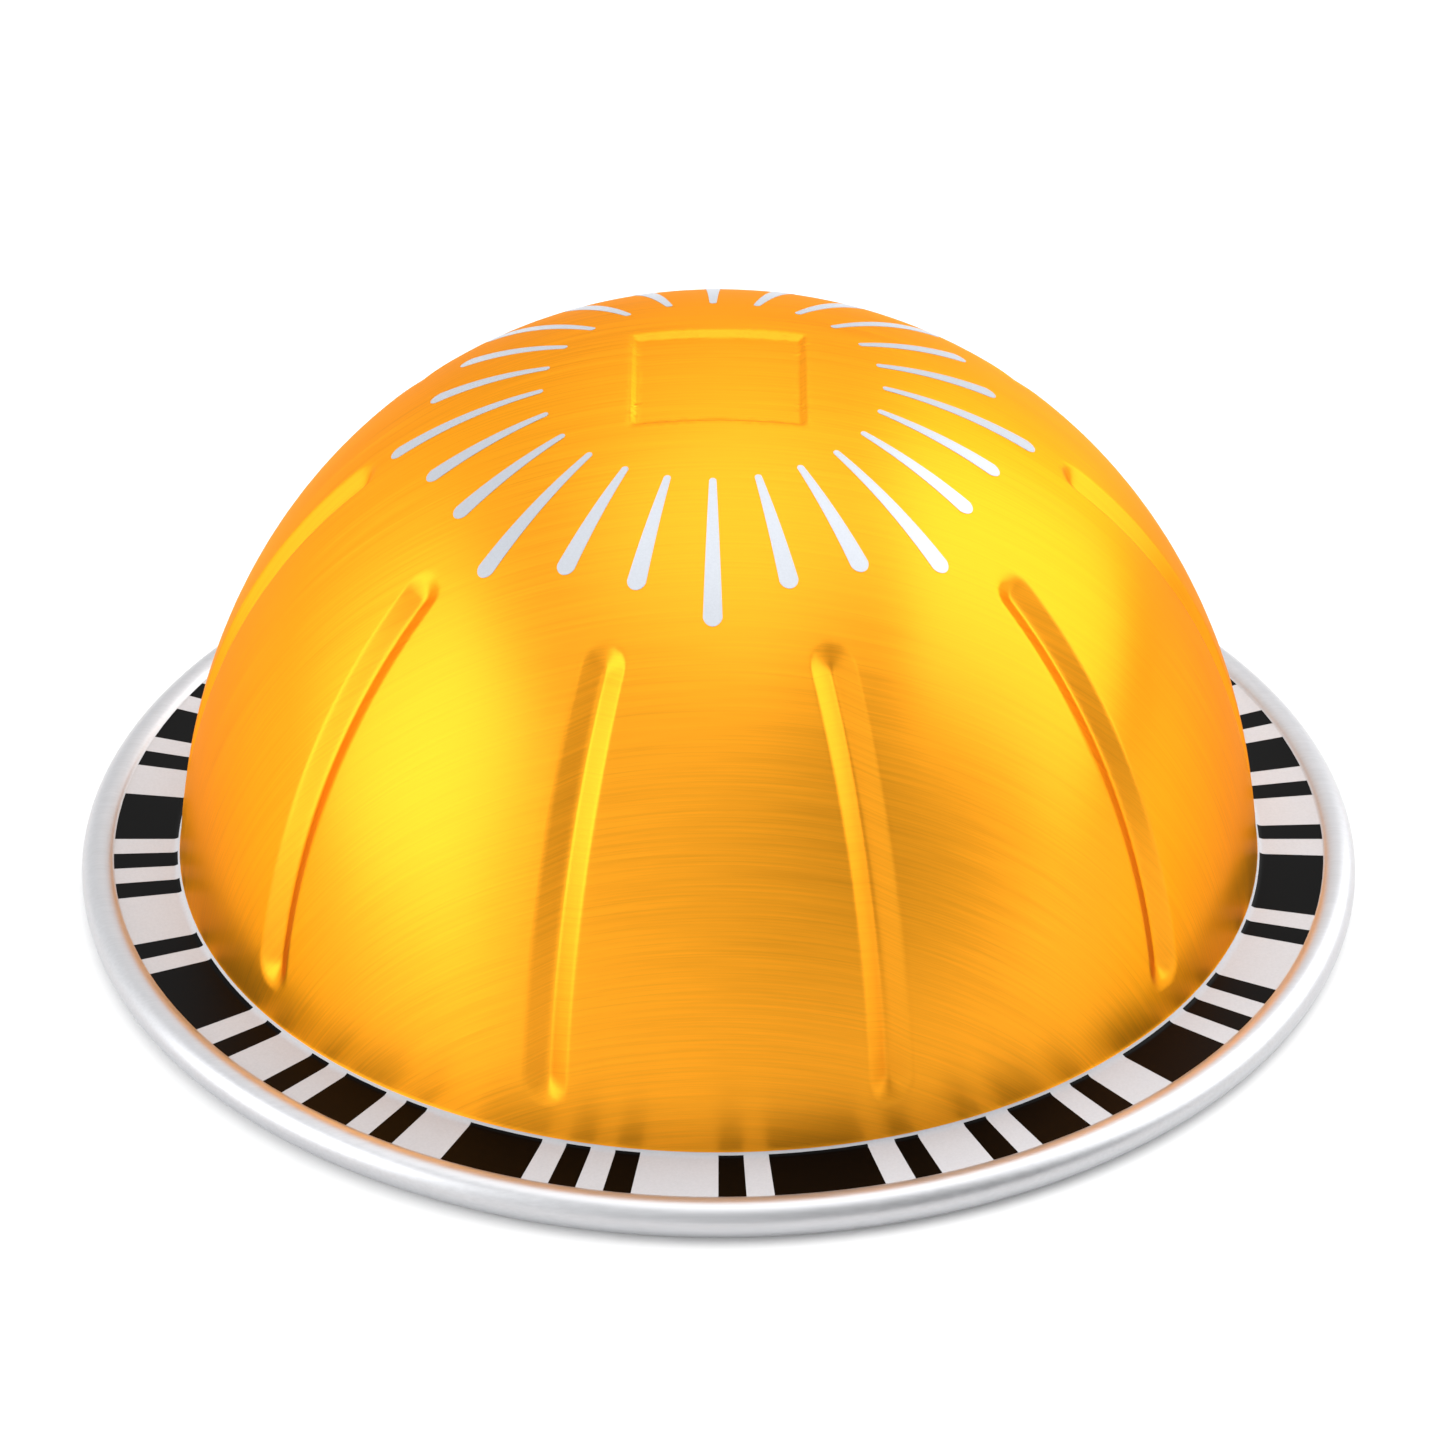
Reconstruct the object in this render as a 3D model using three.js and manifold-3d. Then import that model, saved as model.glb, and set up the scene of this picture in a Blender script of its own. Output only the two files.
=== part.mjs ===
// Coffee pod: a drawn aluminium cup standing dome up, closed underneath by a foil lid.
// Millimetres, +Z up. The axis of the dome is Z, and the rolled rim rests on z = 0.
import * as THREE from 'three';
import { mergeVertices } from 'three/addons/utils/BufferGeometryUtils.js';
import Module from 'manifold-3d';

// Rim: the flange and the roll that its edge is curled into
const RIM_D = 62;
const ROLL_R = 0.93;
const ROLL_REST_W = 0.36;
const FLANGE_ABOVE_ROLL_CENTRE = 0.67;
const SHEET_T = 0.2;

// Dome: its radius at the foot, its height over the flange and the shape of its outline
const FOOT_R = 26.2;
const FOOT_FILLET_R = 0.4;
const DOME_H = 26.6;
const DOME_POWER = 2.15;
const DRAFT_DEPTH = 2.6;

// Grooves pressed down the wall of the dome
const GROOVE_COUNT = 10;
const GROOVE_W = 2.1;
const GROOVE_DEPTH = 0.5;
const GROOVE_TOP_R = 16.35;
const GROOVE_FOOT_H = 2.05;
const FIRST_GROOVE_DEG = 18;

// Square panel pressed into the crown
const PANEL_W = 8.2;
const PANEL_DEPTH = 0.26;
const PANEL_BEVEL_W = 0.26;

// Foil lid sealed under the flange
const FOIL_T = 0.1;
const FOIL_EDGE_GAP = 0.34;

// Facets
const STEPS_ROUND = 80;
const STEPS_DOWN_DOME = 16;
const STEPS_OF_FILLET = 3;
const STEPS_OF_FOIL = 80;
const ROLL_STEP_DEG = 32;
const GROOVE_SIDES = 18;
const GROOVE_STEPS = 10;
const GROOVE_END_STEPS = 4;

// Heights and radii that follow from the sizes above
const FLANGE_Z = ROLL_R + FLANGE_ABOVE_ROLL_CENTRE;
const UNDERSIDE_Z = FLANGE_Z - SHEET_T;
const ROLL_CENTRE_R = RIM_D / 2 - ROLL_R;
const ROLL_INSIDE_R = ROLL_R - SHEET_T;
const CURVE_H = DOME_H + DRAFT_DEPTH;
const CURVE_R = FOOT_R / (1 - (DRAFT_DEPTH / CURVE_H) ** DOME_POWER) ** (1 / DOME_POWER);

// Angle of the dome's outline at a height over the flange, from 0 at the crown
function angleAtHeight(height) {
  return Math.acos(((height + DRAFT_DEPTH) / CURVE_H) ** (DOME_POWER / 2));
}

// Angle of the dome's outline at a distance from the axis
function angleAtRadius(radius) {
  return Math.asin((radius / CURVE_R) ** (DOME_POWER / 2));
}

// Point on the dome's outline, as distance from the axis and height
function domePoint(angle) {
  const r = CURVE_R * Math.max(Math.sin(angle), 0) ** (2 / DOME_POWER);
  const h = CURVE_H * Math.max(Math.cos(angle), 0) ** (2 / DOME_POWER);
  return new THREE.Vector2(r, FLANGE_Z - DRAFT_DEPTH + h);
}

// Outward direction of the dome's outline, square to it
function domeNormal(angle) {
  const step = 1e-4;
  const run = domePoint(angle + step).sub(domePoint(angle - step)).normalize();
  return new THREE.Vector2(-run.y, run.x);
}

// Points of an arc of the roll, both ends included
function rollArc(radius, fromDeg, toDeg) {
  const count = Math.max(2, Math.round(Math.abs(toDeg - fromDeg) / ROLL_STEP_DEG));
  const points = [];
  for (let i = 0; i <= count; i += 1) {
    const angle = THREE.MathUtils.degToRad(fromDeg + (toDeg - fromDeg) * i / count);
    points.push(new THREE.Vector2(
      ROLL_CENTRE_R + radius * Math.cos(angle),
      ROLL_R + radius * Math.sin(angle),
    ));
  }
  return points;
}

// Angle, seen from the roll's centre, at which an arc of it meets a height above that centre
function rollAngleDeg(radius, height) {
  return 180 - THREE.MathUtils.radToDeg(Math.asin(height / radius));
}

// Section of the sheet's edge: in along the inside of the roll to its lip, and out round it
function rollSection() {
  const restDeg = THREE.MathUtils.radToDeg(Math.asin(ROLL_REST_W / 2 / ROLL_R));
  const insideStart = rollAngleDeg(ROLL_INSIDE_R, UNDERSIDE_Z - ROLL_R);
  const outsideEnd = rollAngleDeg(ROLL_R, FLANGE_Z - ROLL_R);
  const inside = rollArc(ROLL_INSIDE_R, insideStart, -180);
  const lipToRest = rollArc(ROLL_R, -180, -90 - restDeg);
  const restToSide = rollArc(ROLL_R, -90 + restDeg, 0);
  const sideToFlange = rollArc(ROLL_R, 0, outsideEnd);
  lipToRest.at(-1).y = 0;
  restToSide[0].y = 0;
  return [...inside, ...lipToRest, ...restToSide, ...sideToFlange.slice(1)];
}

// Section of the dome with the fillet at its foot, from the flange up to the crown
function domeSection() {
  const filletTop = angleAtHeight(FOOT_FILLET_R);
  const centreR = domePoint(filletTop).x + FOOT_FILLET_R;
  const points = [];
  for (let i = 0; i < STEPS_OF_FILLET; i += 1) {
    const angle = Math.PI / 2 * (1 - i / STEPS_OF_FILLET);
    points.push(new THREE.Vector2(
      centreR - FOOT_FILLET_R * Math.cos(angle),
      FLANGE_Z + FOOT_FILLET_R * (1 - Math.sin(angle)),
    ));
  }
  for (let i = 0; i < STEPS_DOWN_DOME; i += 1) {
    points.push(domePoint(filletTop * (1 - i / STEPS_DOWN_DOME)));
  }
  points.push(new THREE.Vector2(0, FLANGE_Z + DOME_H));
  return points;
}

// Turns a section about Z
function turned(points, steps) {
  const geometry = new THREE.LatheGeometry(points, steps);
  geometry.rotateX(Math.PI / 2);
  return geometry;
}

// Solid from a geometry, without the empty triangles that a point on the axis leaves
function toSolid(wasm, geometry) {
  const plain = geometry.clone();
  plain.deleteAttribute('normal');
  plain.deleteAttribute('uv');
  const merged = mergeVertices(plain, 1e-5);
  const index = merged.index.array;
  const kept = [];
  for (let i = 0; i < index.length; i += 3) {
    const [a, b, c] = [index[i], index[i + 1], index[i + 2]];
    if (a !== b && b !== c && c !== a) kept.push(a, b, c);
  }
  const mesh = new wasm.Mesh({
    numProp: 3,
    vertProperties: new Float32Array(merged.attributes.position.array),
    triVerts: new Uint32Array(kept),
  });
  return new wasm.Manifold(mesh);
}

// Geometry from a solid
function toGeometry(solid) {
  const mesh = solid.getMesh();
  const geometry = new THREE.BufferGeometry();
  geometry.setAttribute('position', new THREE.BufferAttribute(mesh.vertProperties, 3));
  geometry.setIndex(new THREE.BufferAttribute(mesh.triVerts, 1));
  geometry.computeVertexNormals();
  return geometry;
}

// Line that the middle of the groove's round tool follows, clear of the dome's wall
class GroovePath extends THREE.Curve {
  constructor(clearance) {
    super();
    this.clearance = clearance;
    this.topAngle = angleAtRadius(GROOVE_TOP_R);
    this.footAngle = angleAtHeight(GROOVE_FOOT_H);
  }

  getPoint(t) {
    const angle = THREE.MathUtils.lerp(this.footAngle, this.topAngle, t);
    const point = domePoint(angle).addScaledVector(domeNormal(angle), this.clearance);
    return new THREE.Vector3(point.x, 0, point.y);
  }
}

// Round-ended tool that presses one groove: a capsule bent along the dome, on the +X side
function grooveTool() {
  const radius = (GROOVE_W ** 2 / 4 + GROOVE_DEPTH ** 2) / (2 * GROOVE_DEPTH);
  const path = new GroovePath(radius - GROOVE_DEPTH);
  const length = path.getLength();
  const straight = length - GROOVE_W;
  const tool = new THREE.CapsuleGeometry(radius, straight, GROOVE_END_STEPS, GROOVE_SIDES, GROOVE_STEPS);
  const position = tool.attributes.position;
  for (let i = 0; i < position.count; i += 1) {
    const along = THREE.MathUtils.clamp(position.getY(i), -straight / 2, straight / 2);
    const share = (along + length / 2) / length;
    const point = path.getPointAt(share);
    const tangent = path.getTangentAt(share);
    const outward = new THREE.Vector3(tangent.z, 0, -tangent.x);
    point.addScaledVector(tangent, position.getY(i) - along);
    point.addScaledVector(outward, position.getX(i));
    position.setXYZ(i, point.x, -position.getZ(i), point.z);
  }
  return tool;
}

// Square tool with sloping sides that presses the panel, its floor as curved as the crown
function panelTool(wasm, blank) {
  const reach = 2 * PANEL_DEPTH;
  const cornerZ = domePoint(angleAtRadius(PANEL_W / Math.SQRT2)).y;
  const height = FLANGE_Z + DOME_H - cornerZ + 2 * reach;
  const slope = PANEL_BEVEL_W / PANEL_DEPTH;
  const topHalf = PANEL_W / 2 + slope * (height - reach);
  const footHalf = PANEL_W / 2 - slope * reach;
  const tool = new THREE.CylinderGeometry(topHalf * Math.SQRT2, footHalf * Math.SQRT2, height, 4);
  tool.rotateY(Math.PI / 4);
  tool.rotateX(Math.PI / 2);
  tool.translate(0, 0, cornerZ - reach + height / 2);
  return toSolid(wasm, tool).subtract(blank.translate([0, 0, -PANEL_DEPTH]));
}

// Cup: dome, flange and rolled edge of one drawn sheet, solid inside because it is sealed full
function cupGeometry(wasm) {
  const underside = [new THREE.Vector2(0, UNDERSIDE_Z)];
  const section = [...underside, ...rollSection(), ...domeSection()];
  const blank = toSolid(wasm, turned(section, STEPS_ROUND));
  const tool = toSolid(wasm, grooveTool());
  let cup = blank.subtract(panelTool(wasm, blank));
  for (let i = 0; i < GROOVE_COUNT; i += 1) {
    cup = cup.subtract(tool.rotate([0, 0, FIRST_GROOVE_DEG + i * 360 / GROOVE_COUNT - 90]));
  }
  return toGeometry(cup);
}

// Foil lid: a thin disc face to face with the underside, clear of the roll all round
function foilGeometry() {
  const rollAtFoil = Math.sqrt(ROLL_INSIDE_R ** 2 - (UNDERSIDE_Z - FOIL_T - ROLL_R) ** 2);
  const radius = ROLL_CENTRE_R - rollAtFoil - FOIL_EDGE_GAP;
  const foil = new THREE.CylinderGeometry(radius, radius, FOIL_T, STEPS_OF_FOIL);
  foil.rotateX(Math.PI / 2);
  foil.translate(0, 0, UNDERSIDE_Z - FOIL_T / 2);
  return foil;
}

function piece(name, geometry, color, roughness) {
  const material = new THREE.MeshStandardMaterial({ color, roughness, metalness: 1 });
  const mesh = new THREE.Mesh(geometry, material);
  mesh.name = name;
  return mesh;
}

async function coffeePod() {
  const wasm = await Module();
  wasm.setup();
  const pod = new THREE.Group();
  pod.name = 'coffee_pod';
  pod.add(piece('cup', cupGeometry(wasm), 0xf2a51c, 0.32));
  pod.add(piece('lid_foil', foilGeometry(), 0xd9dbde, 0.28));
  return pod;
}

export default await coffeePod();
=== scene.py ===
import bisect
import math

import bmesh
import bpy
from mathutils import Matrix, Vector


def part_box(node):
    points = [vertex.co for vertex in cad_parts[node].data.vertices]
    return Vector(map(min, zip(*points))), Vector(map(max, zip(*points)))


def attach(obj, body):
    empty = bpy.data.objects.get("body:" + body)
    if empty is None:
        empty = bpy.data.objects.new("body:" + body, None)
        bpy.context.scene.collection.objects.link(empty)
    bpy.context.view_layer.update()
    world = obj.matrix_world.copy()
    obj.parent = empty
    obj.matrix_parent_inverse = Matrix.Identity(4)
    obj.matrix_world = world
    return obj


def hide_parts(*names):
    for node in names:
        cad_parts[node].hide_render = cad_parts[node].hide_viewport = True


bl_info = {
    "name": "Coffee pod",
    "version": (1, 0, 0),
    "blender": (4, 5, 0),
    "location": "3D View > Sidebar > Coffee pod",
    "description": "Models a filled aluminium coffee pod with a foil lid",
    "category": "Add Mesh",
}

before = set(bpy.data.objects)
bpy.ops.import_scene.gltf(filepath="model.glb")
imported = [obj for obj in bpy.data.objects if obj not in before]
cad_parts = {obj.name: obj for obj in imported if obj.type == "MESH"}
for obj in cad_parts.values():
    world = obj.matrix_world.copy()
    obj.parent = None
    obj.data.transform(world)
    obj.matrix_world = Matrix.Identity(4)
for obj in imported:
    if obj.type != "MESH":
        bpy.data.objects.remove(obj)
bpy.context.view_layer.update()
MM = 0.001
FOIL_LOW, FOIL_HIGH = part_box("lid_foil")

# Name of the map that lays the dome back on its flat blank
BLANK_MAP = "blank"
# Places of the finishes among the cup's materials
GOLD, BARS, RIM = 0, 1, 2

# Distance under which vertices are merged
MERGE_GAP = 0.002 * MM
# Slack with which faces and vertices are picked by their place
PICK_SLACK = 0.001 * MM
# Radius under which a place counts as on the axis
AXIS_R = 1e-6 * MM
# Bend up to which the facets of the lid and the ink are shaded smooth
SMOOTH_DEG = 40
# Steps of the table of the dome's outline
OUTLINE_STEPS = 3000

# Facets of the drawn sheet: rows down the dome and the fillet, and steps round one groove's sector
DOME_ROWS = 142
FILLET_ROWS = 6
ROLL_STEP_DEG = 9
COARSE_STEPS = 6
FINE_STEPS = 30
FINE_DEG = 8.8
# Distance from the roll of an edge row that keeps the flange's shading flat
FLAT_ROW_GAP = 0.05 * MM

# Rounding of a groove's edges, and the least weight that is pressed
GROOVE_EDGE_SOFT = 0.025
LEAST_WEIGHT = 0.003

# Width of the panel's bevel that lies outside the panel
PANEL_LIP = 0.06 * MM
# Height over which the panel's edge rows are cut
CROWN_Z = 20 * MM
# Places of the edge rows along each side of the panel, in millimetres from that side
PANEL_EDGE_ROWS = (0.12, 0.05, -0.02, -0.09, -0.16, -0.23, -0.3, -0.38)

# Widths of the bars and gaps of one repeat, in modules, starting with a bar
BAR_RUNS = (2, 1, 1, 2, 1, 1, 4, 1, 1, 3, 1, 1, 1, 1, 3, 2, 1, 1)
BAR_REPEATS = 5
# Width of the white edge between the dome and the bars
BAR_EDGE = 0.12 * MM

# Facets of a stroke, and the height at which it is drawn before it is laid on the dome
STROKE_SIDES = 32
STROKE_CUTS = 14
STROKE_Z = 40 * MM
# Facets and reach of the dome's form that the strokes are laid on
FORM_ROWS = 160
FORM_STEPS = 240
FORM_R = 20 * MM

# Facets of the lid, and the widths of its bends
LID_ROWS = 28
LID_STEPS = 180
LID_EDGE_CHAMFER = (0.1 * MM, 0.04 * MM)
SEAL_SLOPE = 0.1 * MM
SEAL_MARGIN = 0.5 * MM


def linear(code):
    """Linear colour of an sRGB hex value."""
    parts = [int(code[i : i + 2], 16) / 255 for i in (1, 3, 5)]
    return [c / 12.92 if c <= 0.04045 else ((c + 0.055) / 1.055) ** 2.4 for c in parts]


class PodSizes(bpy.types.PropertyGroup):
    """Sizes of the pod"""

    rim_d: bpy.props.FloatProperty(
        name="Rim diameter",
        description="Overall diameter of the rolled rim",
        default=62 * MM,
        unit="LENGTH",
    )
    roll_r: bpy.props.FloatProperty(
        name="Roll radius",
        description="Outside radius of the rolled rim's section",
        default=0.93 * MM,
        unit="LENGTH",
    )
    roll_rest_w: bpy.props.FloatProperty(
        name="Rest width",
        description="Width of the flat that the roll stands on",
        default=0.36 * MM,
        unit="LENGTH",
    )
    flange_rise: bpy.props.FloatProperty(
        name="Flange rise",
        description="Height of the flange's upper face over the centre of the roll",
        default=0.67 * MM,
        unit="LENGTH",
    )
    sheet_t: bpy.props.FloatProperty(
        name="Sheet thickness",
        description="Thickness of the flange and the roll",
        default=0.2 * MM,
        unit="LENGTH",
    )
    foot_r: bpy.props.FloatProperty(
        name="Foot radius",
        description="Radius of the dome where it meets the flange",
        default=26.2 * MM,
        unit="LENGTH",
    )
    fillet_r: bpy.props.FloatProperty(
        name="Foot fillet",
        description="Radius of the fillet between the dome and the flange",
        default=0.4 * MM,
        unit="LENGTH",
    )
    dome_h: bpy.props.FloatProperty(
        name="Dome height",
        description="Height of the crown over the flange",
        default=26.6 * MM,
        unit="LENGTH",
    )
    draft_depth: bpy.props.FloatProperty(
        name="Draft depth",
        description="Depth under the flange at which the dome's curve would stand upright",
        default=2.6 * MM,
        unit="LENGTH",
    )
    dome_power: bpy.props.FloatProperty(
        name="Dome fullness",
        description="Exponent of the dome's outline, 2 for an ellipse",
        default=2.15,
    )
    groove_w: bpy.props.FloatProperty(
        name="Groove width",
        description="Width of a pressed groove",
        default=2.1 * MM,
        unit="LENGTH",
    )
    groove_depth: bpy.props.FloatProperty(
        name="Groove depth",
        description="Depth of a pressed groove",
        default=0.5 * MM,
        unit="LENGTH",
    )
    groove_bottom_r: bpy.props.FloatProperty(
        name="Groove bottom",
        description="Radius that rounds the bottom of a groove between its two flanks",
        default=0.12 * MM,
        unit="LENGTH",
    )
    groove_top_r: bpy.props.FloatProperty(
        name="Groove top",
        description="Distance of a groove's upper end from the axis",
        default=16.35 * MM,
        unit="LENGTH",
    )
    groove_foot_h: bpy.props.FloatProperty(
        name="Groove foot",
        description="Height of a groove's lower end over the flange",
        default=2.05 * MM,
        unit="LENGTH",
    )
    groove_count: bpy.props.IntProperty(
        name="Grooves",
        description="Number of grooves round the dome",
        default=10,
    )
    panel_w: bpy.props.FloatProperty(
        name="Panel width",
        description="Side of the square panel pressed into the crown",
        default=8.2 * MM,
        unit="LENGTH",
    )
    panel_depth: bpy.props.FloatProperty(
        name="Panel depth",
        description="Depth of the pressed panel",
        default=0.26 * MM,
        unit="LENGTH",
    )
    panel_bevel_w: bpy.props.FloatProperty(
        name="Panel bevel",
        description="Width of the slope round the panel",
        default=0.36 * MM,
        unit="LENGTH",
    )
    stroke_count: bpy.props.IntProperty(
        name="Strokes",
        description="Number of printed strokes round the crown",
        default=24,
    )
    long_stroke_every: bpy.props.IntProperty(
        name="Long stroke every",
        description="Number of strokes from one long stroke to the next",
        default=3,
    )
    print_shift: bpy.props.FloatProperty(
        name="Print shift",
        description="How far the printed strokes lie off the axis along X",
        default=-0.26 * MM,
        unit="LENGTH",
    )
    stroke_in_r: bpy.props.FloatProperty(
        name="Stroke inner end",
        description="Distance of a printed stroke's inner end from the axis",
        default=8.0 * MM,
        unit="LENGTH",
    )
    stroke_out_r: bpy.props.FloatProperty(
        name="Short stroke outer end",
        description="Distance of a short stroke's outer end from the axis",
        default=13.91 * MM,
        unit="LENGTH",
    )
    long_stroke_out_r: bpy.props.FloatProperty(
        name="Long stroke outer end",
        description="Distance of a long stroke's outer end from the axis",
        default=15.23 * MM,
        unit="LENGTH",
    )
    stroke_in_w: bpy.props.FloatProperty(
        name="Stroke inner width",
        description="Width of a printed stroke at its inner end",
        default=0.34 * MM,
        unit="LENGTH",
    )
    stroke_out_w: bpy.props.FloatProperty(
        name="Stroke outer width",
        description="Width of a printed stroke at its outer end",
        default=0.92 * MM,
        unit="LENGTH",
    )
    stroke_t: bpy.props.FloatProperty(
        name="Ink thickness",
        description="Thickness of the printed ink",
        default=0.02 * MM,
        unit="LENGTH",
    )
    lid_bulge: bpy.props.FloatProperty(
        name="Lid bulge",
        description="How far the middle of the foil lid swells out",
        default=0.2 * MM,
        unit="LENGTH",
    )
    seal_in_r: bpy.props.FloatProperty(
        name="Seal inner radius",
        description="Inner radius of the band pressed by the heat seal",
        default=26 * MM,
        unit="LENGTH",
    )
    seal_out_r: bpy.props.FloatProperty(
        name="Seal outer radius",
        description="Outer radius of the band pressed by the heat seal",
        default=28.3 * MM,
        unit="LENGTH",
    )
    seal_depth: bpy.props.FloatProperty(
        name="Seal depth",
        description="Depth of the band pressed by the heat seal",
        default=0.06 * MM,
        unit="LENGTH",
    )


class PodColours(bpy.types.PropertyGroup):
    """Colours of the pod's finishes"""

    gold: bpy.props.FloatVectorProperty(
        name="Gold lacquer",
        description="Colour of the lacquered dome",
        subtype="COLOR",
        default=linear("#f7a222"),
    )
    gold_edge: bpy.props.FloatVectorProperty(
        name="Gold lacquer at the edge",
        description="Colour of the lacquered dome seen along its surface",
        subtype="COLOR",
        default=linear("#b4700a"),
    )
    silver: bpy.props.FloatVectorProperty(
        name="Bare aluminium",
        description="Colour of the foil lid",
        subtype="COLOR",
        default=linear("#c0c1c3"),
    )
    rim: bpy.props.FloatVectorProperty(
        name="Silver lacquer",
        description="Colour of the rolled rim and the sheet's underside",
        subtype="COLOR",
        default=linear("#c4c5c8"),
    )
    white: bpy.props.FloatVectorProperty(
        name="White lacquer",
        description="Colour of the flange between its bars",
        subtype="COLOR",
        default=linear("#bcbfc4"),
    )
    black: bpy.props.FloatVectorProperty(
        name="Black ink",
        description="Colour of the printed bars",
        subtype="COLOR",
        default=linear("#030303"),
    )
    ink: bpy.props.FloatVectorProperty(
        name="Silver ink",
        description="Colour of the printed strokes",
        subtype="COLOR",
        default=linear("#b5b9c0"),
    )


class Outline:
    """The dome's outline in metres, from the sizes in the sidebar."""

    def __init__(self, sizes):
        self.sizes = sizes
        self.flange_z = sizes.roll_r + sizes.flange_rise
        self.power = sizes.dome_power
        self.curve_h = sizes.dome_h + sizes.draft_depth
        share = (sizes.draft_depth / self.curve_h) ** self.power
        self.curve_r = sizes.foot_r / (1 - share) ** (1 / self.power)
        angles = [i / OUTLINE_STEPS * math.pi / 2 for i in range(OUTLINE_STEPS + 1)]
        self.radii, self.heights = zip(*[self.point(angle) for angle in angles])
        self.runs = [0]
        for i in range(OUTLINE_STEPS):
            step = math.hypot(self.radii[i + 1] - self.radii[i],
                              self.heights[i + 1] - self.heights[i])
            self.runs.append(self.runs[-1] + step)

    def angle_at_height(self, height):
        """Angle of the outline at a height over the flange, from 0 at the crown."""
        share = (height + self.sizes.draft_depth) / self.curve_h
        return math.acos(share ** (self.power / 2))

    def angle_at_radius(self, radius):
        """Angle of the outline at a distance from the axis."""
        return math.asin((radius / self.curve_r) ** (self.power / 2))

    def point(self, angle):
        """Point of the outline, as distance from the axis and height."""
        r = self.curve_r * max(math.sin(angle), 0) ** (2 / self.power)
        h = self.curve_h * max(math.cos(angle), 0) ** (2 / self.power)
        return r, self.flange_z - self.sizes.draft_depth + h

    def height_at(self, radius):
        return self.point(self.angle_at_radius(radius))[1]

    def run_at(self, radius, height):
        """Length of the outline from the crown to a place on the dome."""
        if radius < self.sizes.groove_top_r / 2:
            i = min(max(bisect.bisect_left(self.radii, radius), 1), OUTLINE_STEPS)
            share = (radius - self.radii[i - 1]) / (self.radii[i] - self.radii[i - 1])
        else:
            i = bisect.bisect_left(self.heights, -height, key=lambda h: -h)
            i = min(max(i, 1), OUTLINE_STEPS)
            low, high = self.heights[i - 1], self.heights[i]
            share = (height - low) / (high - low)
        return self.runs[i - 1] + share * (self.runs[i] - self.runs[i - 1])


def deselect():
    """Leaves edit mode with nothing selected."""
    if bpy.context.object and bpy.context.object.mode == "EDIT":
        bpy.ops.object.mode_set(mode="OBJECT")
    bpy.ops.object.select_all(action="DESELECT")


def pick(obj):
    """Selects one object and makes it the active one."""
    deselect()
    obj.select_set(True)
    bpy.context.view_layer.objects.active = obj


def finish_mesh(name, smooth_deg=None):
    """Names the active mesh, closes its seams, turns its faces outwards and smooths it."""
    obj = bpy.context.object
    obj.name = obj.data.name = name
    if obj.mode != "EDIT":
        bpy.ops.object.mode_set(mode="EDIT")
    bpy.ops.mesh.select_all(action="SELECT")
    bpy.ops.mesh.remove_doubles(threshold=MERGE_GAP)
    bpy.ops.mesh.normals_make_consistent(inside=False)
    bpy.ops.object.mode_set(mode="OBJECT")
    if smooth_deg is None:
        bpy.ops.object.shade_smooth()
    else:
        bpy.ops.object.shade_smooth_by_angle(angle=math.radians(smooth_deg))
    return obj


def select_where(test):
    """In edit mode, selects the vertices whose place passes the test."""
    mesh = bmesh.from_edit_mesh(bpy.context.object.data)
    for vert in mesh.verts:
        vert.select = test(vert.co)
    mesh.select_flush_mode()
    bmesh.update_edit_mesh(bpy.context.object.data)


def draw_section(points):
    """Extrudes one vertex along the points of a section, at the front of the axis."""
    deselect()
    r, z = points[0]
    bpy.ops.mesh.primitive_plane_add(size=MM, location=(0, 0, 0))
    bpy.ops.object.mode_set(mode="EDIT")
    bpy.ops.mesh.merge(type="CENTER")
    bpy.ops.transform.translate(value=(0, -r, z))
    for next_r, next_z in points[1:]:
        step = (0, r - next_r, next_z - z)
        bpy.ops.mesh.extrude_region_move(TRANSFORM_OT_translate={"value": step})
        r, z = next_r, next_z
    bpy.ops.mesh.select_all(action="SELECT")


def spin(steps, degrees, copies=False):
    """Turns the selection about the pod's axis, drawn out in steps or copied."""
    bpy.ops.mesh.spin(
        steps=steps,
        angle=math.radians(degrees),
        center=(0, 0, 0),
        axis=(0, 0, 1),
        dupli=copies,
    )


def node(tree, kind, settings=(), links=()):
    """Adds a node, sets its properties and sockets, and links its inputs."""
    made = tree.nodes.new(kind)
    for key, value in dict(settings).items():
        if hasattr(made, str(key)):
            setattr(made, key, value)
        else:
            made.inputs[key].default_value = value
    for key, source in dict(links).items():
        tree.links.new(source, made.inputs[key])
    return made


def new_material(name):
    material = bpy.data.materials.new(name)
    material.use_nodes = True
    material.node_tree.nodes.clear()
    return material, material.node_tree


def colour(value):
    return (*value, 1)


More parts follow.
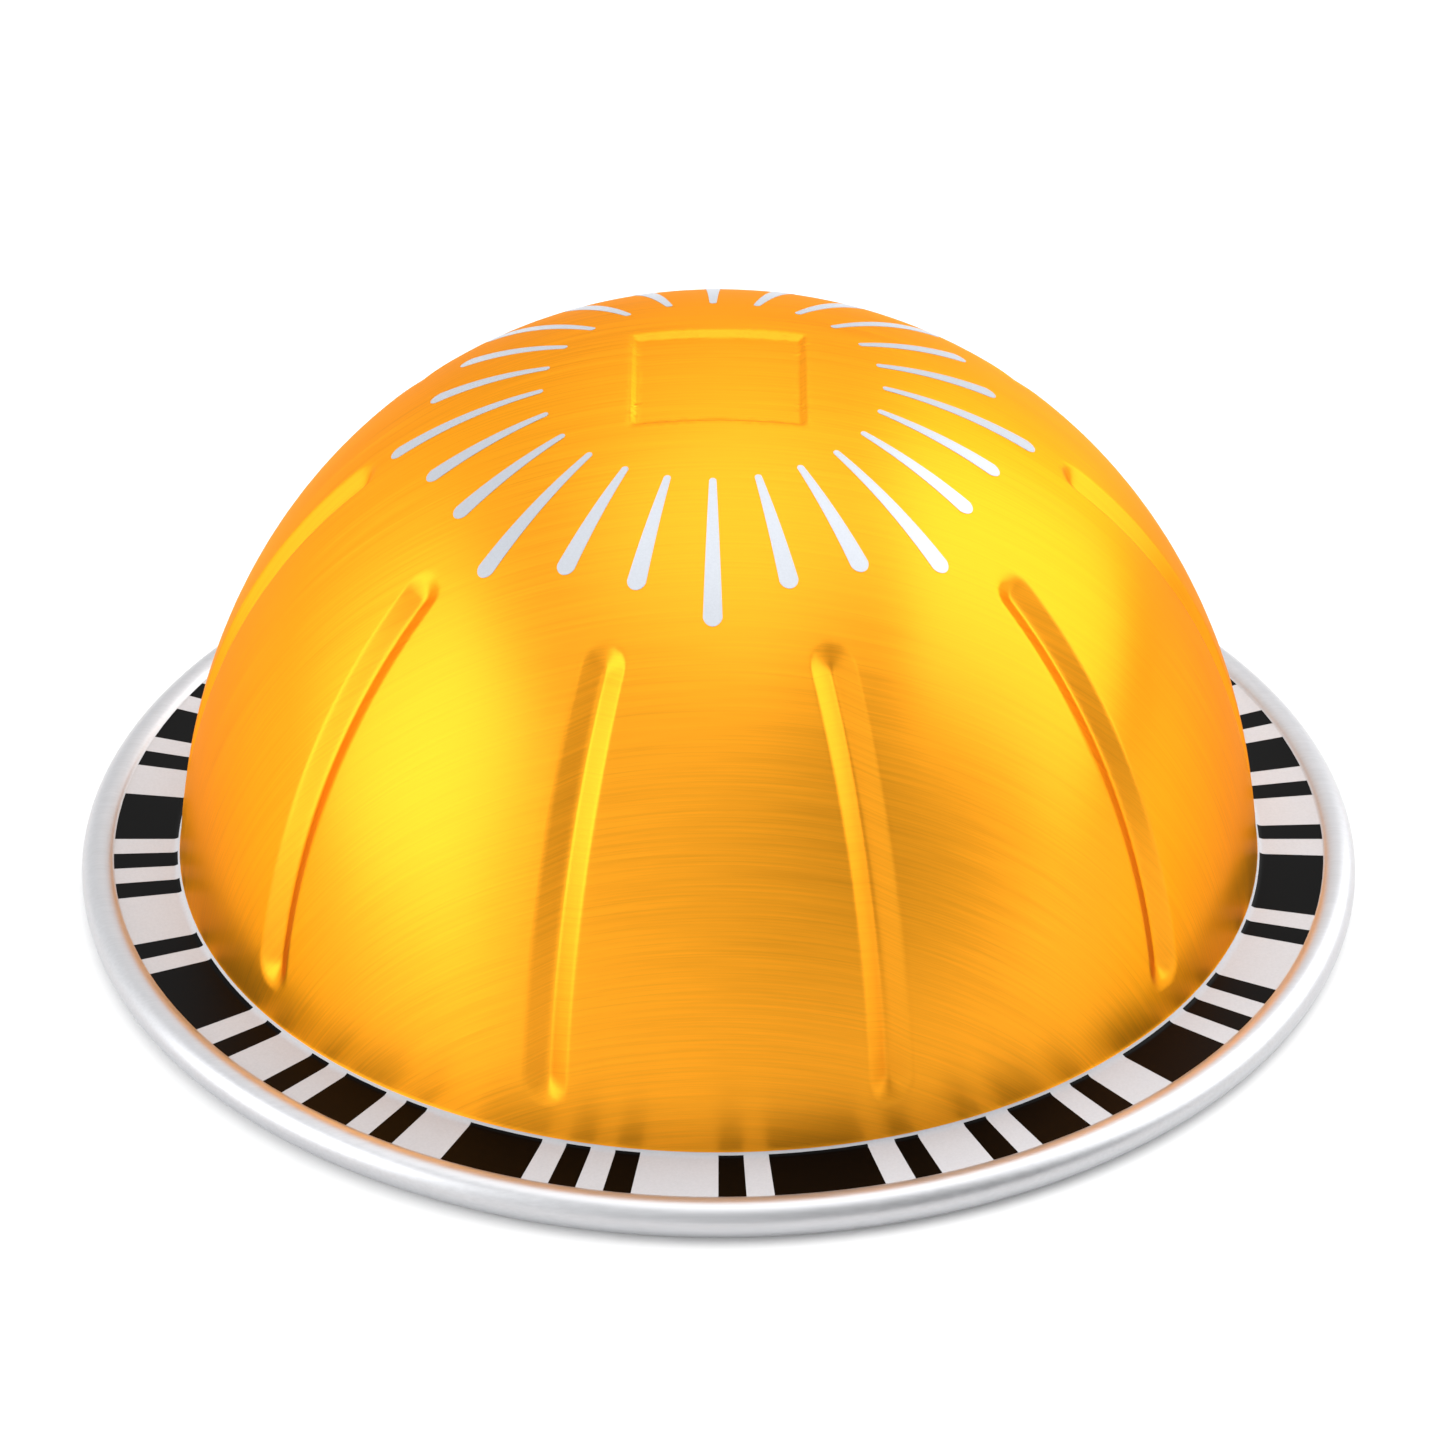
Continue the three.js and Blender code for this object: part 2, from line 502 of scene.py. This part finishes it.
def gold_lacquer(colours, flange_z):
    """Rolled aluminium under gold lacquer: satin, slightly hazy, with the roll's straight grain.

    Seen along the surface, light crosses more of the lacquer, which deepens the colour.
    """
    material, tree = new_material("Gold lacquered aluminium")
    blank = node(tree, "ShaderNodeUVMap", {"uv_map": BLANK_MAP}).outputs[0]
    # Grain 12 mm long, drawn 0.13 mm wide so that it shows
    along = node(tree, "ShaderNodeMapping", {"Scale": (1 / (0.13 * MM), 1 / (12 * MM), 1)},
                 {"Vector": blank})
    brush = node(tree, "ShaderNodeTexNoise", {"Scale": 1.0, "Detail": 4.0, "Roughness": 0.65},
                 {"Vector": along.outputs[0]})
    tone = node(tree, "ShaderNodeMapRange",
                {"From Min": 0.3, "From Max": 0.7, "To Min": 0.87, "To Max": 1.07},
                {"Value": brush.outputs["Fac"]})
    shade = node(tree, "ShaderNodeMix",
                 {"data_type": "RGBA", "blend_type": "MULTIPLY", 0: 1.0,
                  6: colour(colours.gold)}, {7: tone.outputs[0]})
    rough = node(tree, "ShaderNodeMapRange",
                 {"From Min": 0.3, "From Max": 0.7, "To Min": 0.35, "To Max": 0.43},
                 {"Value": brush.outputs["Fac"]})
    # The sheet is stretched most at the foot, which leaves it duller there
    place = node(tree, "ShaderNodeTexCoord").outputs["Object"]
    height = node(tree, "ShaderNodeSeparateXYZ", links={0: place}).outputs["Z"]
    drawn = node(tree, "ShaderNodeMapRange",
                 {"From Min": flange_z, "From Max": flange_z + 3 * MM,
                  "To Min": 0.1, "To Max": 0.0, "interpolation_type": "SMOOTHSTEP"},
                 {"Value": height})
    dull = node(tree, "ShaderNodeMath", {"operation": "ADD"},
                {0: rough.outputs[0], 1: drawn.outputs[0]})
    bump = node(tree, "ShaderNodeBump", {"Strength": 0.22, "Distance": 0.01 * MM},
                {"Height": brush.outputs["Fac"]})
    tangent = node(tree, "ShaderNodeTangent",
                   {"direction_type": "UV_MAP", "uv_map": BLANK_MAP})
    surface = node(tree, "ShaderNodeBsdfPrincipled",
                   {"Metallic": 0.8, "Specular IOR Level": 0.02,
                    "Anisotropic": 0.78, "Coat Weight": 0.03,
                    "Coat Roughness": 0.2, "Specular Tint": colour(colours.gold_edge)},
                   {"Base Color": shade.outputs[2], "Roughness": dull.outputs[0],
                    "Normal": bump.outputs[0], "Tangent": tangent.outputs[0]})
    node(tree, "ShaderNodeOutputMaterial", links={"Surface": surface.outputs[0]})
    return material


def code_ring(colours, sizes):
    """White lacquer with black bars printed round it, as flat ink under a gloss varnish."""
    material, tree = new_material("White lacquer with black bars")
    place = node(tree, "ShaderNodeTexCoord").outputs["Object"]
    split = node(tree, "ShaderNodeSeparateXYZ", links={0: place})
    turn = node(tree, "ShaderNodeMath", {"operation": "ARCTAN2"},
                {0: split.outputs["X"], 1: split.outputs["Y"]})
    share = node(tree, "ShaderNodeMath", {"operation": "MULTIPLY", 1: BAR_REPEATS / math.tau},
                 {0: turn.outputs[0]})
    step = node(tree, "ShaderNodeMath", {"operation": "FRACT"}, {0: share.outputs[0]})
    bars = node(tree, "ShaderNodeValToRGB", links={0: step.outputs[0]})
    ramp = bars.color_ramp
    ramp.interpolation = "CONSTANT"
    edge, total = 0, sum(BAR_RUNS)
    for i, run in enumerate(BAR_RUNS):
        stop = ramp.elements[i] if i < 2 else ramp.elements.new(edge / total)
        stop.position = edge / total
        stop.color = (1, 1, 1, 1) if i % 2 == 0 else (0, 0, 0, 1)
        edge += run
    square_x = node(tree, "ShaderNodeMath", {"operation": "MULTIPLY"},
                    {0: split.outputs["X"], 1: split.outputs["X"]})
    square_r = node(tree, "ShaderNodeMath", {"operation": "MULTIPLY_ADD"},
                    {0: split.outputs["Y"], 1: split.outputs["Y"], 2: square_x.outputs[0]})
    radius = node(tree, "ShaderNodeMath", {"operation": "SQRT"}, {0: square_r.outputs[0]})
    from_r = node(tree, "ShaderNodeMath",
                  {"operation": "GREATER_THAN", 1: sizes.foot_r + BAR_EDGE},
                  {0: radius.outputs[0]})
    inked = node(tree, "ShaderNodeMath", {"operation": "MULTIPLY"},
                 {0: bars.outputs[0], 1: from_r.outputs[0]})
    # Faint mottle of the lacquer, drawn 0.12 mm wide so that it shows
    grain = node(tree, "ShaderNodeTexNoise", {"Scale": 1 / (0.12 * MM), "Detail": 2.0},
                 {"Vector": place})
    tone = node(tree, "ShaderNodeMapRange",
                {"From Min": 0.3, "From Max": 0.7, "To Min": 0.94, "To Max": 1.0},
                {"Value": grain.outputs["Fac"]})
    white = node(tree, "ShaderNodeMix",
                 {"data_type": "RGBA", "blend_type": "MULTIPLY", 0: 1.0,
                  6: colour(colours.white)}, {7: tone.outputs[0]})
    shade = node(tree, "ShaderNodeMix",
                 {"data_type": "RGBA", 7: colour(colours.black)},
                 {0: inked.outputs[0], 6: white.outputs[2]})
    surface = node(tree, "ShaderNodeBsdfPrincipled",
                   {"Roughness": 0.35, "IOR": 1.5, "Specular IOR Level": 0.05},
                   {"Base Color": shade.outputs[2]})
    node(tree, "ShaderNodeOutputMaterial", links={"Surface": surface.outputs[0]})
    return material


def satin_aluminium(name, base, metallic, rough_low, rough_high):
    """Rolled aluminium, bare or lacquered, with the fine straight grain that the rolls leave."""
    material, tree = new_material(name)
    place = node(tree, "ShaderNodeTexCoord").outputs["Object"]
    # Grain 9 mm long, drawn 0.14 mm wide so that it shows
    along = node(tree, "ShaderNodeMapping",
                 {"Scale": (1 / (9 * MM), 1 / (0.14 * MM), 1 / (0.14 * MM))}, {"Vector": place})
    grain = node(tree, "ShaderNodeTexNoise", {"Scale": 1.0, "Detail": 4.0, "Roughness": 0.6},
                 {"Vector": along.outputs[0]})
    tone = node(tree, "ShaderNodeMapRange",
                {"From Min": 0.3, "From Max": 0.7, "To Min": 0.93, "To Max": 1.03},
                {"Value": grain.outputs["Fac"]})
    shade = node(tree, "ShaderNodeMix",
                 {"data_type": "RGBA", "blend_type": "MULTIPLY", 0: 1.0,
                  6: colour(base)}, {7: tone.outputs[0]})
    rough = node(tree, "ShaderNodeMapRange",
                 {"From Min": 0.3, "From Max": 0.7, "To Min": rough_low, "To Max": rough_high},
                 {"Value": grain.outputs["Fac"]})
    bump = node(tree, "ShaderNodeBump", {"Strength": 0.1, "Distance": 0.01 * MM},
                {"Height": grain.outputs["Fac"]})
    surface = node(tree, "ShaderNodeBsdfPrincipled", {"Metallic": metallic},
                   {"Base Color": shade.outputs[2], "Roughness": rough.outputs[0],
                    "Normal": bump.outputs[0]})
    node(tree, "ShaderNodeOutputMaterial", links={"Surface": surface.outputs[0]})
    return material


def silver_ink(colours):
    """Silver screen ink: its fine flakes give a pale, even satin that hides the gold."""
    material, tree = new_material("Silver screen ink")
    place = node(tree, "ShaderNodeTexCoord").outputs["Object"]
    # Flakes of the ink, drawn 0.1 mm wide so that they show
    grain = node(tree, "ShaderNodeTexNoise", {"Scale": 1 / (0.1 * MM), "Detail": 2.0},
                 {"Vector": place})
    tone = node(tree, "ShaderNodeMapRange",
                {"From Min": 0.3, "From Max": 0.7, "To Min": 0.93, "To Max": 1.0},
                {"Value": grain.outputs["Fac"]})
    shade = node(tree, "ShaderNodeMix",
                 {"data_type": "RGBA", "blend_type": "MULTIPLY", 0: 1.0,
                  6: colour(colours.ink)}, {7: tone.outputs[0]})
    surface = node(tree, "ShaderNodeBsdfPrincipled",
                   {"Metallic": 0.5, "Roughness": 0.4}, {"Base Color": shade.outputs[2]})
    node(tree, "ShaderNodeOutputMaterial", links={"Surface": surface.outputs[0]})
    return material


def roll_arc(sizes, radius, from_deg, to_deg):
    """Points of an arc of the roll, both ends included."""
    centre_r = sizes.rim_d / 2 - sizes.roll_r
    count = max(2, round(abs(to_deg - from_deg) / ROLL_STEP_DEG))
    points = []
    for i in range(count + 1):
        angle = math.radians(from_deg + (to_deg - from_deg) * i / count)
        points.append((centre_r + radius * math.cos(angle),
                       sizes.roll_r + radius * math.sin(angle)))
    return points


def sheet_section(sizes, outline):
    """Section of the whole drawn sheet, from the underside's centre to the crown."""
    flange_z = outline.flange_z
    under_z = flange_z - sizes.sheet_t
    inside_r = sizes.roll_r - sizes.sheet_t
    rest_deg = math.degrees(math.asin(sizes.roll_rest_w / 2 / sizes.roll_r))
    inside_start = 180 - math.degrees(math.asin((under_z - sizes.roll_r) / inside_r))
    outside_end = 180 - math.degrees(math.asin(sizes.flange_rise / sizes.roll_r))
    points = [(0, under_z)]
    points += roll_arc(sizes, inside_r, inside_start, -180)
    points += roll_arc(sizes, sizes.roll_r, -180, -90 - rest_deg)
    points[-1] = (points[-1][0], 0)
    rest = roll_arc(sizes, sizes.roll_r, -90 + rest_deg, 0)
    rest[0] = (rest[0][0], 0)
    points += rest
    points += roll_arc(sizes, sizes.roll_r, 0, outside_end)[1:]
    top = outline.angle_at_height(sizes.fillet_r)
    centre_r = outline.point(top)[0] + sizes.fillet_r
    points.append((points[-1][0] - FLAT_ROW_GAP, flange_z))
    for i in range(FILLET_ROWS):
        angle = math.pi / 2 * (1 - i / FILLET_ROWS)
        points.append((centre_r - sizes.fillet_r * math.cos(angle),
                       flange_z + sizes.fillet_r * (1 - math.sin(angle))))
    for i in range(DOME_ROWS):
        points.append(outline.point(top * (1 - i / DOME_ROWS)))
    points.append((0, flange_z + sizes.dome_h))
    return points


def groove_weight(place, sizes, outline, span):
    """Share of the groove's depth at a place on the dome: two flanks and a rounded bottom."""
    radius = place.xy.length
    pitch = math.tau / sizes.groove_count
    turn = math.atan2(place.x, -place.y)
    aside = ((turn % pitch) - pitch / 2) * radius
    half, bottom = sizes.groove_w / 2, sizes.groove_bottom_r
    run = outline.run_at(radius, place.z)
    over = max(run - (span[1] - half), (span[0] + half) - run, 0)
    away = math.hypot(aside, over)
    full = math.hypot(half, bottom) - bottom
    inside = 1 - (math.hypot(away, bottom) - bottom) / full
    return min((inside + math.hypot(inside, GROOVE_EDGE_SOFT)) / 2, 1)


def press(obj, name, weights, depth, direction):
    """Presses the weighted vertices in, each by its share of the depth."""
    group = obj.vertex_groups.new(name=name)
    for index, weight in weights:
        group.add([index], weight, "REPLACE")
    modifier = obj.modifiers.new(name, "DISPLACE")
    modifier.direction = direction
    modifier.mid_level = 0
    modifier.strength = -depth
    modifier.vertex_group = name
    bpy.ops.object.modifier_apply(modifier=name)
    obj.vertex_groups.clear()


class OBJECT_OT_pod_cup(bpy.types.Operator):
    """Draws the aluminium cup: dome, pressed grooves and panel, flange and rolled rim"""

    bl_idname = "object.pod_cup"
    bl_label = "Cup"

    def execute(self, context):
        sizes, colours = context.scene.pod_sizes, context.scene.pod_colours
        outline = Outline(sizes)
        draw_section(sheet_section(sizes, outline))
        pitch = 360 / sizes.groove_count
        side = (pitch - FINE_DEG) / 2
        spin(COARSE_STEPS, side)
        spin(FINE_STEPS, FINE_DEG)
        spin(COARSE_STEPS, side)
        bpy.ops.mesh.select_all(action="SELECT")
        spin(sizes.groove_count - 1, 360 - pitch, copies=True)
        finish_mesh("drawn_cup")
        self.cut_panel_edges(sizes)
        cup = finish_mesh("drawn_cup")
        half = sizes.groove_w / 2
        foot_angle = outline.angle_at_height(sizes.groove_foot_h)
        span = (outline.run_at(sizes.groove_top_r, outline.height_at(sizes.groove_top_r)),
                outline.run_at(*outline.point(foot_angle)))
        low_z = outline.flange_z + sizes.groove_foot_h - half
        high_z = outline.height_at(sizes.groove_top_r - half)
        grooved = []
        for vert in cup.data.vertices:
            if low_z < vert.co.z < high_z and vert.co.xy.length < sizes.foot_r:
                weight = groove_weight(vert.co, sizes, outline, span)
                if weight > LEAST_WEIGHT:
                    grooved.append((vert.index, weight))
        if not grooved:
            raise RuntimeError("The grooves have no place on the dome")
        press(cup, "grooves", grooved, sizes.groove_depth, "NORMAL")
        paneled = []
        for vert in cup.data.vertices:
            if vert.co.z > outline.height_at(sizes.panel_w):
                reach = sizes.panel_w / 2 - max(abs(vert.co.x), abs(vert.co.y))
                share = min(max((reach + PANEL_LIP) / sizes.panel_bevel_w, 0), 1)
                if share > 0:
                    paneled.append((vert.index, share * share * (3 - 2 * share)))
        if not paneled:
            raise RuntimeError("The panel has no place on the crown")
        press(cup, "panel", paneled, sizes.panel_depth, "Z")
        self.dress(cup, sizes, colours, outline)
        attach(cup, "root")
        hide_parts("cup")
        return {"FINISHED"}

    def cut_panel_edges(self, sizes):
        """Cuts straight rows of edges along the sides of the panel."""
        bpy.ops.object.mode_set(mode="EDIT")
        for offset in PANEL_EDGE_ROWS:
            reach = sizes.panel_w / 2 + offset * MM
            for axis in (0, 1):
                for sign in (-1, 1):
                    normal = [0, 0, 0]
                    normal[axis] = sign
                    select_where(lambda co: co.z > CROWN_Z and co.xy.length < sizes.panel_w)
                    bpy.ops.mesh.bisect(plane_co=[n * reach for n in normal], plane_no=normal)
        bpy.ops.object.mode_set(mode="OBJECT")

    def dress(self, cup, sizes, colours, outline):
        """Gives the dome, the flange, the roll and the underside their finishes."""
        roll_foot_r = sizes.rim_d / 2 - sizes.roll_r - math.sqrt(
            sizes.roll_r**2 - sizes.flange_rise**2)
        blank = cup.data.uv_layers.new(name=BLANK_MAP)
        for loop in cup.data.loops:
            place = cup.data.vertices[loop.vertex_index].co
            run = outline.run_at(place.xy.length, place.z)
            away = max(place.xy.length, AXIS_R)
            blank.data[loop.index].uv = (-place.y / away * run, place.x / away * run)
        cup.data.materials.append(gold_lacquer(colours, outline.flange_z))
        cup.data.materials.append(code_ring(colours, sizes))
        cup.data.materials.append(
            satin_aluminium("Silver lacquered aluminium", colours.rim, 0.85, 0.38, 0.44))
        # The gold ends halfway up the fillet
        gold_z = outline.flange_z + sizes.fillet_r / 2
        for face in cup.data.polygons:
            centre = face.center
            if centre.z > gold_z and centre.xy.length < sizes.foot_r + sizes.fillet_r:
                face.material_index = GOLD
            elif centre.xy.length < roll_foot_r and centre.z > outline.flange_z - PICK_SLACK:
                face.material_index = BARS
            else:
                face.material_index = RIM


class OBJECT_OT_pod_strokes(bpy.types.Operator):
    """Prints the tapered silver strokes round the crown"""

    bl_idname = "object.pod_strokes"
    bl_label = "Printed strokes"

    def execute(self, context):
        sizes, colours = context.scene.pod_sizes, context.scene.pod_colours
        outline = Outline(sizes)
        if sizes.stroke_out_r <= sizes.stroke_in_r + sizes.stroke_out_w:
            raise RuntimeError("The strokes are wider than they are long")
        long_stroke = self.stroke(sizes, sizes.long_stroke_out_r)
        short_stroke = self.stroke(sizes, sizes.stroke_out_r)
        strokes = []
        for index in range(sizes.stroke_count):
            source = short_stroke if index % sizes.long_stroke_every else long_stroke
            strokes.append(self.turned_copy(sizes, source, math.tau * index / sizes.stroke_count))
        for source in (long_stroke, short_stroke):
            bpy.data.objects.remove(source, do_unlink=True)
        deselect()
        for stroke in strokes:
            stroke.select_set(True)
        context.view_layer.objects.active = strokes[0]
        bpy.ops.object.join()
        self.lay(context.object, sizes, outline)
        strokes = finish_mesh("silver_strokes", SMOOTH_DEG)
        strokes.data.materials.append(silver_ink(colours))
        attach(strokes, "root")
        return {"FINISHED"}

    def stroke(self, sizes, out_r):
        """One flat stroke: a disc drawn out to its length and narrowed at its inner end."""
        deselect()
        outer_r = sizes.stroke_out_w / 2
        inner_r = sizes.stroke_in_w / 2
        middle = outer_r - out_r
        centre = (sizes.print_shift, middle, STROKE_Z)
        bpy.ops.mesh.primitive_circle_add(
            vertices=STROKE_SIDES, radius=outer_r, fill_type="NGON", location=centre)
        bpy.ops.object.transform_apply(location=True, rotation=True, scale=True)
        bpy.ops.object.mode_set(mode="EDIT")
        select_where(lambda co: co.y > middle - PICK_SLACK)
        share = inner_r / outer_r
        bpy.ops.transform.resize(value=(share, share, 1), center_override=centre)
        length = out_r - outer_r - sizes.stroke_in_r - inner_r
        bpy.ops.transform.translate(value=(0, length, 0))
        for i in range(1, STROKE_CUTS):
            bpy.ops.mesh.select_all(action="SELECT")
            bpy.ops.mesh.bisect(
                plane_co=(0, middle + length * i / STROKE_CUTS, 0), plane_no=(0, 1, 0))
        bpy.ops.object.mode_set(mode="OBJECT")
        return bpy.context.object

    def turned_copy(self, sizes, source, turn):
        """A copy of a stroke with its own mesh, turned about the middle of the print."""
        pick(source)
        bpy.ops.object.duplicate(linked=False)
        bpy.ops.transform.rotate(
            value=turn, orient_axis="Z", center_override=(sizes.print_shift, 0, 0))
        bpy.ops.object.transform_apply(location=True, rotation=True, scale=True)
        return bpy.context.object

    def lay(self, strokes, sizes, outline):
        """Lays the flat strokes on the dome and gives the ink its thickness."""
        deselect()
        reach = outline.angle_at_radius(FORM_R)
        draw_section([outline.point(i / FORM_ROWS * reach) for i in range(FORM_ROWS + 1)])
        spin(FORM_STEPS, 360)
        dome = finish_mesh("crown_form")
        pick(strokes)
        wrap = strokes.modifiers.new("lay", "SHRINKWRAP")
        wrap.target = dome
        wrap.wrap_method = "PROJECT"
        wrap.use_project_z = True
        wrap.use_negative_direction = True
        wrap.use_positive_direction = False
        bpy.ops.object.modifier_apply(modifier="lay")
        # One third of the film stands proud, and the rest is keyed into the sheet
        film = strokes.modifiers.new("film", "SOLIDIFY")
        film.thickness = 3 * sizes.stroke_t
        film.offset = -1 / 3
        bpy.ops.object.modifier_apply(modifier="film")
        bpy.data.objects.remove(dome, do_unlink=True)


class OBJECT_OT_pod_lid(bpy.types.Operator):
    """Seals the foil lid under the flange"""

    bl_idname = "object.pod_lid"
    bl_label = "Foil lid"

    def execute(self, context):
        sizes, colours = context.scene.pod_sizes, context.scene.pod_colours
        low_z, high_z, edge_r = FOIL_LOW.z, FOIL_HIGH.z, FOIL_HIGH.x
        if not sizes.seal_in_r < sizes.seal_out_r < edge_r - 2 * SEAL_SLOPE:
            raise RuntimeError("The seal does not lie on the foil")
        field_r = sizes.seal_in_r - SEAL_MARGIN
        section = []
        for i in range(LID_ROWS + 1):
            share = i / LID_ROWS
            section.append((field_r * share, low_z - sizes.lid_bulge * (1 - share**2)))
        chamfer_w, chamfer_h = LID_EDGE_CHAMFER
        section += [
            (sizes.seal_in_r - SEAL_SLOPE, low_z),
            (sizes.seal_in_r + SEAL_SLOPE, low_z + sizes.seal_depth),
            (sizes.seal_out_r - SEAL_SLOPE, low_z + sizes.seal_depth),
            (sizes.seal_out_r + SEAL_SLOPE, low_z),
            (edge_r - chamfer_w, low_z),
            (edge_r, low_z + chamfer_h),
            (edge_r, high_z),
            (0, high_z),
        ]
        draw_section(section)
        spin(LID_STEPS, 360)
        lid = finish_mesh("foil_lid", SMOOTH_DEG)
        lid.data.materials.append(
            satin_aluminium("Bare aluminium foil", colours.silver, 1.0, 0.24, 0.34))
        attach(lid, "root")
        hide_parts("lid_foil")
        return {"FINISHED"}


class OBJECT_OT_pod_stage(bpy.types.Operator):
    """Sets the camera, the pale floor and the soft studio light"""

    bl_idname = "object.pod_stage"
    bl_label = "Studio"

    # Camera: elevation in degrees, the rest in millimetres, aim_z over the flange
    elevation = 33.14
    distance = 413.4
    aim_x = 0.189
    aim_z = 6.781
    lens = 213.2
    sensor_w = 36
    nearest = 10
    # Floor: width in metres, colour of its paper and the paper's own glow
    floor_w = 4
    paper = "#e4e4e4"
    floor_glow = 0.1
    # Height in millimetres that the panels of light face
    lit_z = 10
    # Panels of light: name, place in mm, size in mm, watts
    panels = (
        ("left_panel", (-440, -120, 175), (420, 440), 1.45),
        ("right_panel", (404, 131, 265), (600, 440), 2.4),
        ("top_panel", (50, 60, 520), (520, 520), 1.25),
    )

    def execute(self, context):
        sizes = context.scene.pod_sizes
        flange_z = sizes.roll_r + sizes.flange_rise
        self.add_camera(context, flange_z)
        self.add_floor()
        for name, place, size, watts in self.panels:
            self.add_panel(name, place, size, watts)
        self.add_world(context)
        context.scene.view_settings.view_transform = "Standard"
        if context.scene.camera is None:
            raise RuntimeError("The studio has no camera")
        return {"FINISHED"}

    def add_camera(self, context, flange_z):
        tilt = math.radians(self.elevation)
        reach = self.distance * MM
        place = (self.aim_x * MM, -reach * math.cos(tilt),
                 flange_z + self.aim_z * MM + reach * math.sin(tilt))
        bpy.ops.object.camera_add(location=place, rotation=(math.pi / 2 - tilt, 0, 0))
        camera = context.object
        camera.name = "camera"
        camera.data.sensor_width = self.sensor_w
        camera.data.lens = self.lens
        camera.data.clip_start = self.nearest * MM
        context.scene.camera = camera

    def add_floor(self):
        deselect()
        bpy.ops.mesh.primitive_plane_add(size=self.floor_w, location=(0, 0, 0))
        floor = bpy.context.object
        floor.name = "floor"
        material, tree = new_material("White floor paper")
        paper = node(tree, "ShaderNodeBsdfDiffuse", {"Color": colour(linear(self.paper))})
        # The paper glows only where it is seen or mirrored, and lights nothing
        path = node(tree, "ShaderNodeLightPath")
        seen = node(tree, "ShaderNodeMath", {"operation": "MAXIMUM"},
                    {0: path.outputs["Is Camera Ray"], 1: path.outputs["Is Glossy Ray"]})
        strength = node(tree, "ShaderNodeMath", {"operation": "MULTIPLY", 1: self.floor_glow},
                        {0: seen.outputs[0]})
        glow = node(tree, "ShaderNodeEmission", {"Color": (1, 1, 1, 1)},
                    {"Strength": strength.outputs[0]})
        both = node(tree, "ShaderNodeAddShader", {}, {0: paper.outputs[0], 1: glow.outputs[0]})
        node(tree, "ShaderNodeOutputMaterial", links={"Surface": both.outputs[0]})
        floor.data.materials.append(material)

    def add_panel(self, name, place, size, watts):
        bpy.ops.object.light_add(type="AREA", location=[c * MM for c in place])
        lamp = bpy.context.object
        lamp.name = name
        lamp.data.shape = "RECTANGLE"
        lamp.data.size, lamp.data.size_y = (s * MM for s in size)
        lamp.data.energy = watts
        aim = Vector((0, 0, self.lit_z * MM)) - lamp.location
        lamp.rotation_euler = aim.to_track_quat("-Z", "Y").to_euler()

    def add_world(self, context):
        """A pale studio, darker towards the right in front."""
        world = bpy.data.worlds.new("studio")
        context.scene.world = world
        world.use_nodes = True
        tree = world.node_tree
        tree.nodes.clear()
        direction = node(tree, "ShaderNodeTexCoord").outputs["Generated"]
        towards = node(tree, "ShaderNodeVectorMath",
                       {"operation": "DOT_PRODUCT", 1: (0.92, -0.39, 0)}, {0: direction})
        level = node(tree, "ShaderNodeMapRange",
                     {"From Min": 0.1, "From Max": 0.9, "To Min": 0.95, "To Max": 0.15},
                     {"Value": towards.outputs["Value"]})
        light = node(tree, "ShaderNodeBackground", {"Color": (1, 1, 1, 1)},
                     {"Strength": level.outputs[0]})
        node(tree, "ShaderNodeOutputWorld", links={"Surface": light.outputs[0]})


class VIEW3D_PT_pod(bpy.types.Panel):
    bl_label = "Coffee pod"
    bl_space_type = "VIEW_3D"
    bl_region_type = "UI"
    bl_category = "Coffee pod"

    def draw(self, context):
        for operator in STEPS:
            self.layout.operator(operator.bl_idname)
        for group in (context.scene.pod_sizes, context.scene.pod_colours):
            for key in group.bl_rna.properties.keys():
                if key not in {"rna_type", "name"}:
                    self.layout.prop(group, key)


STEPS = (
    OBJECT_OT_pod_cup,
    OBJECT_OT_pod_strokes,
    OBJECT_OT_pod_lid,
    OBJECT_OT_pod_stage,
)
CLASSES = (PodSizes, PodColours, *STEPS, VIEW3D_PT_pod)


def register():
    for each in CLASSES:
        bpy.utils.register_class(each)
    bpy.types.Scene.pod_sizes = bpy.props.PointerProperty(type=PodSizes)
    bpy.types.Scene.pod_colours = bpy.props.PointerProperty(type=PodColours)


def unregister():
    del bpy.types.Scene.pod_colours
    del bpy.types.Scene.pod_sizes
    for each in reversed(CLASSES):
        bpy.utils.unregister_class(each)


def main():
    register()
    bpy.ops.object.pod_cup()
    bpy.ops.object.pod_strokes()
    bpy.ops.object.pod_lid()
    bpy.ops.object.pod_stage()


if __name__ == "__main__":
    main()
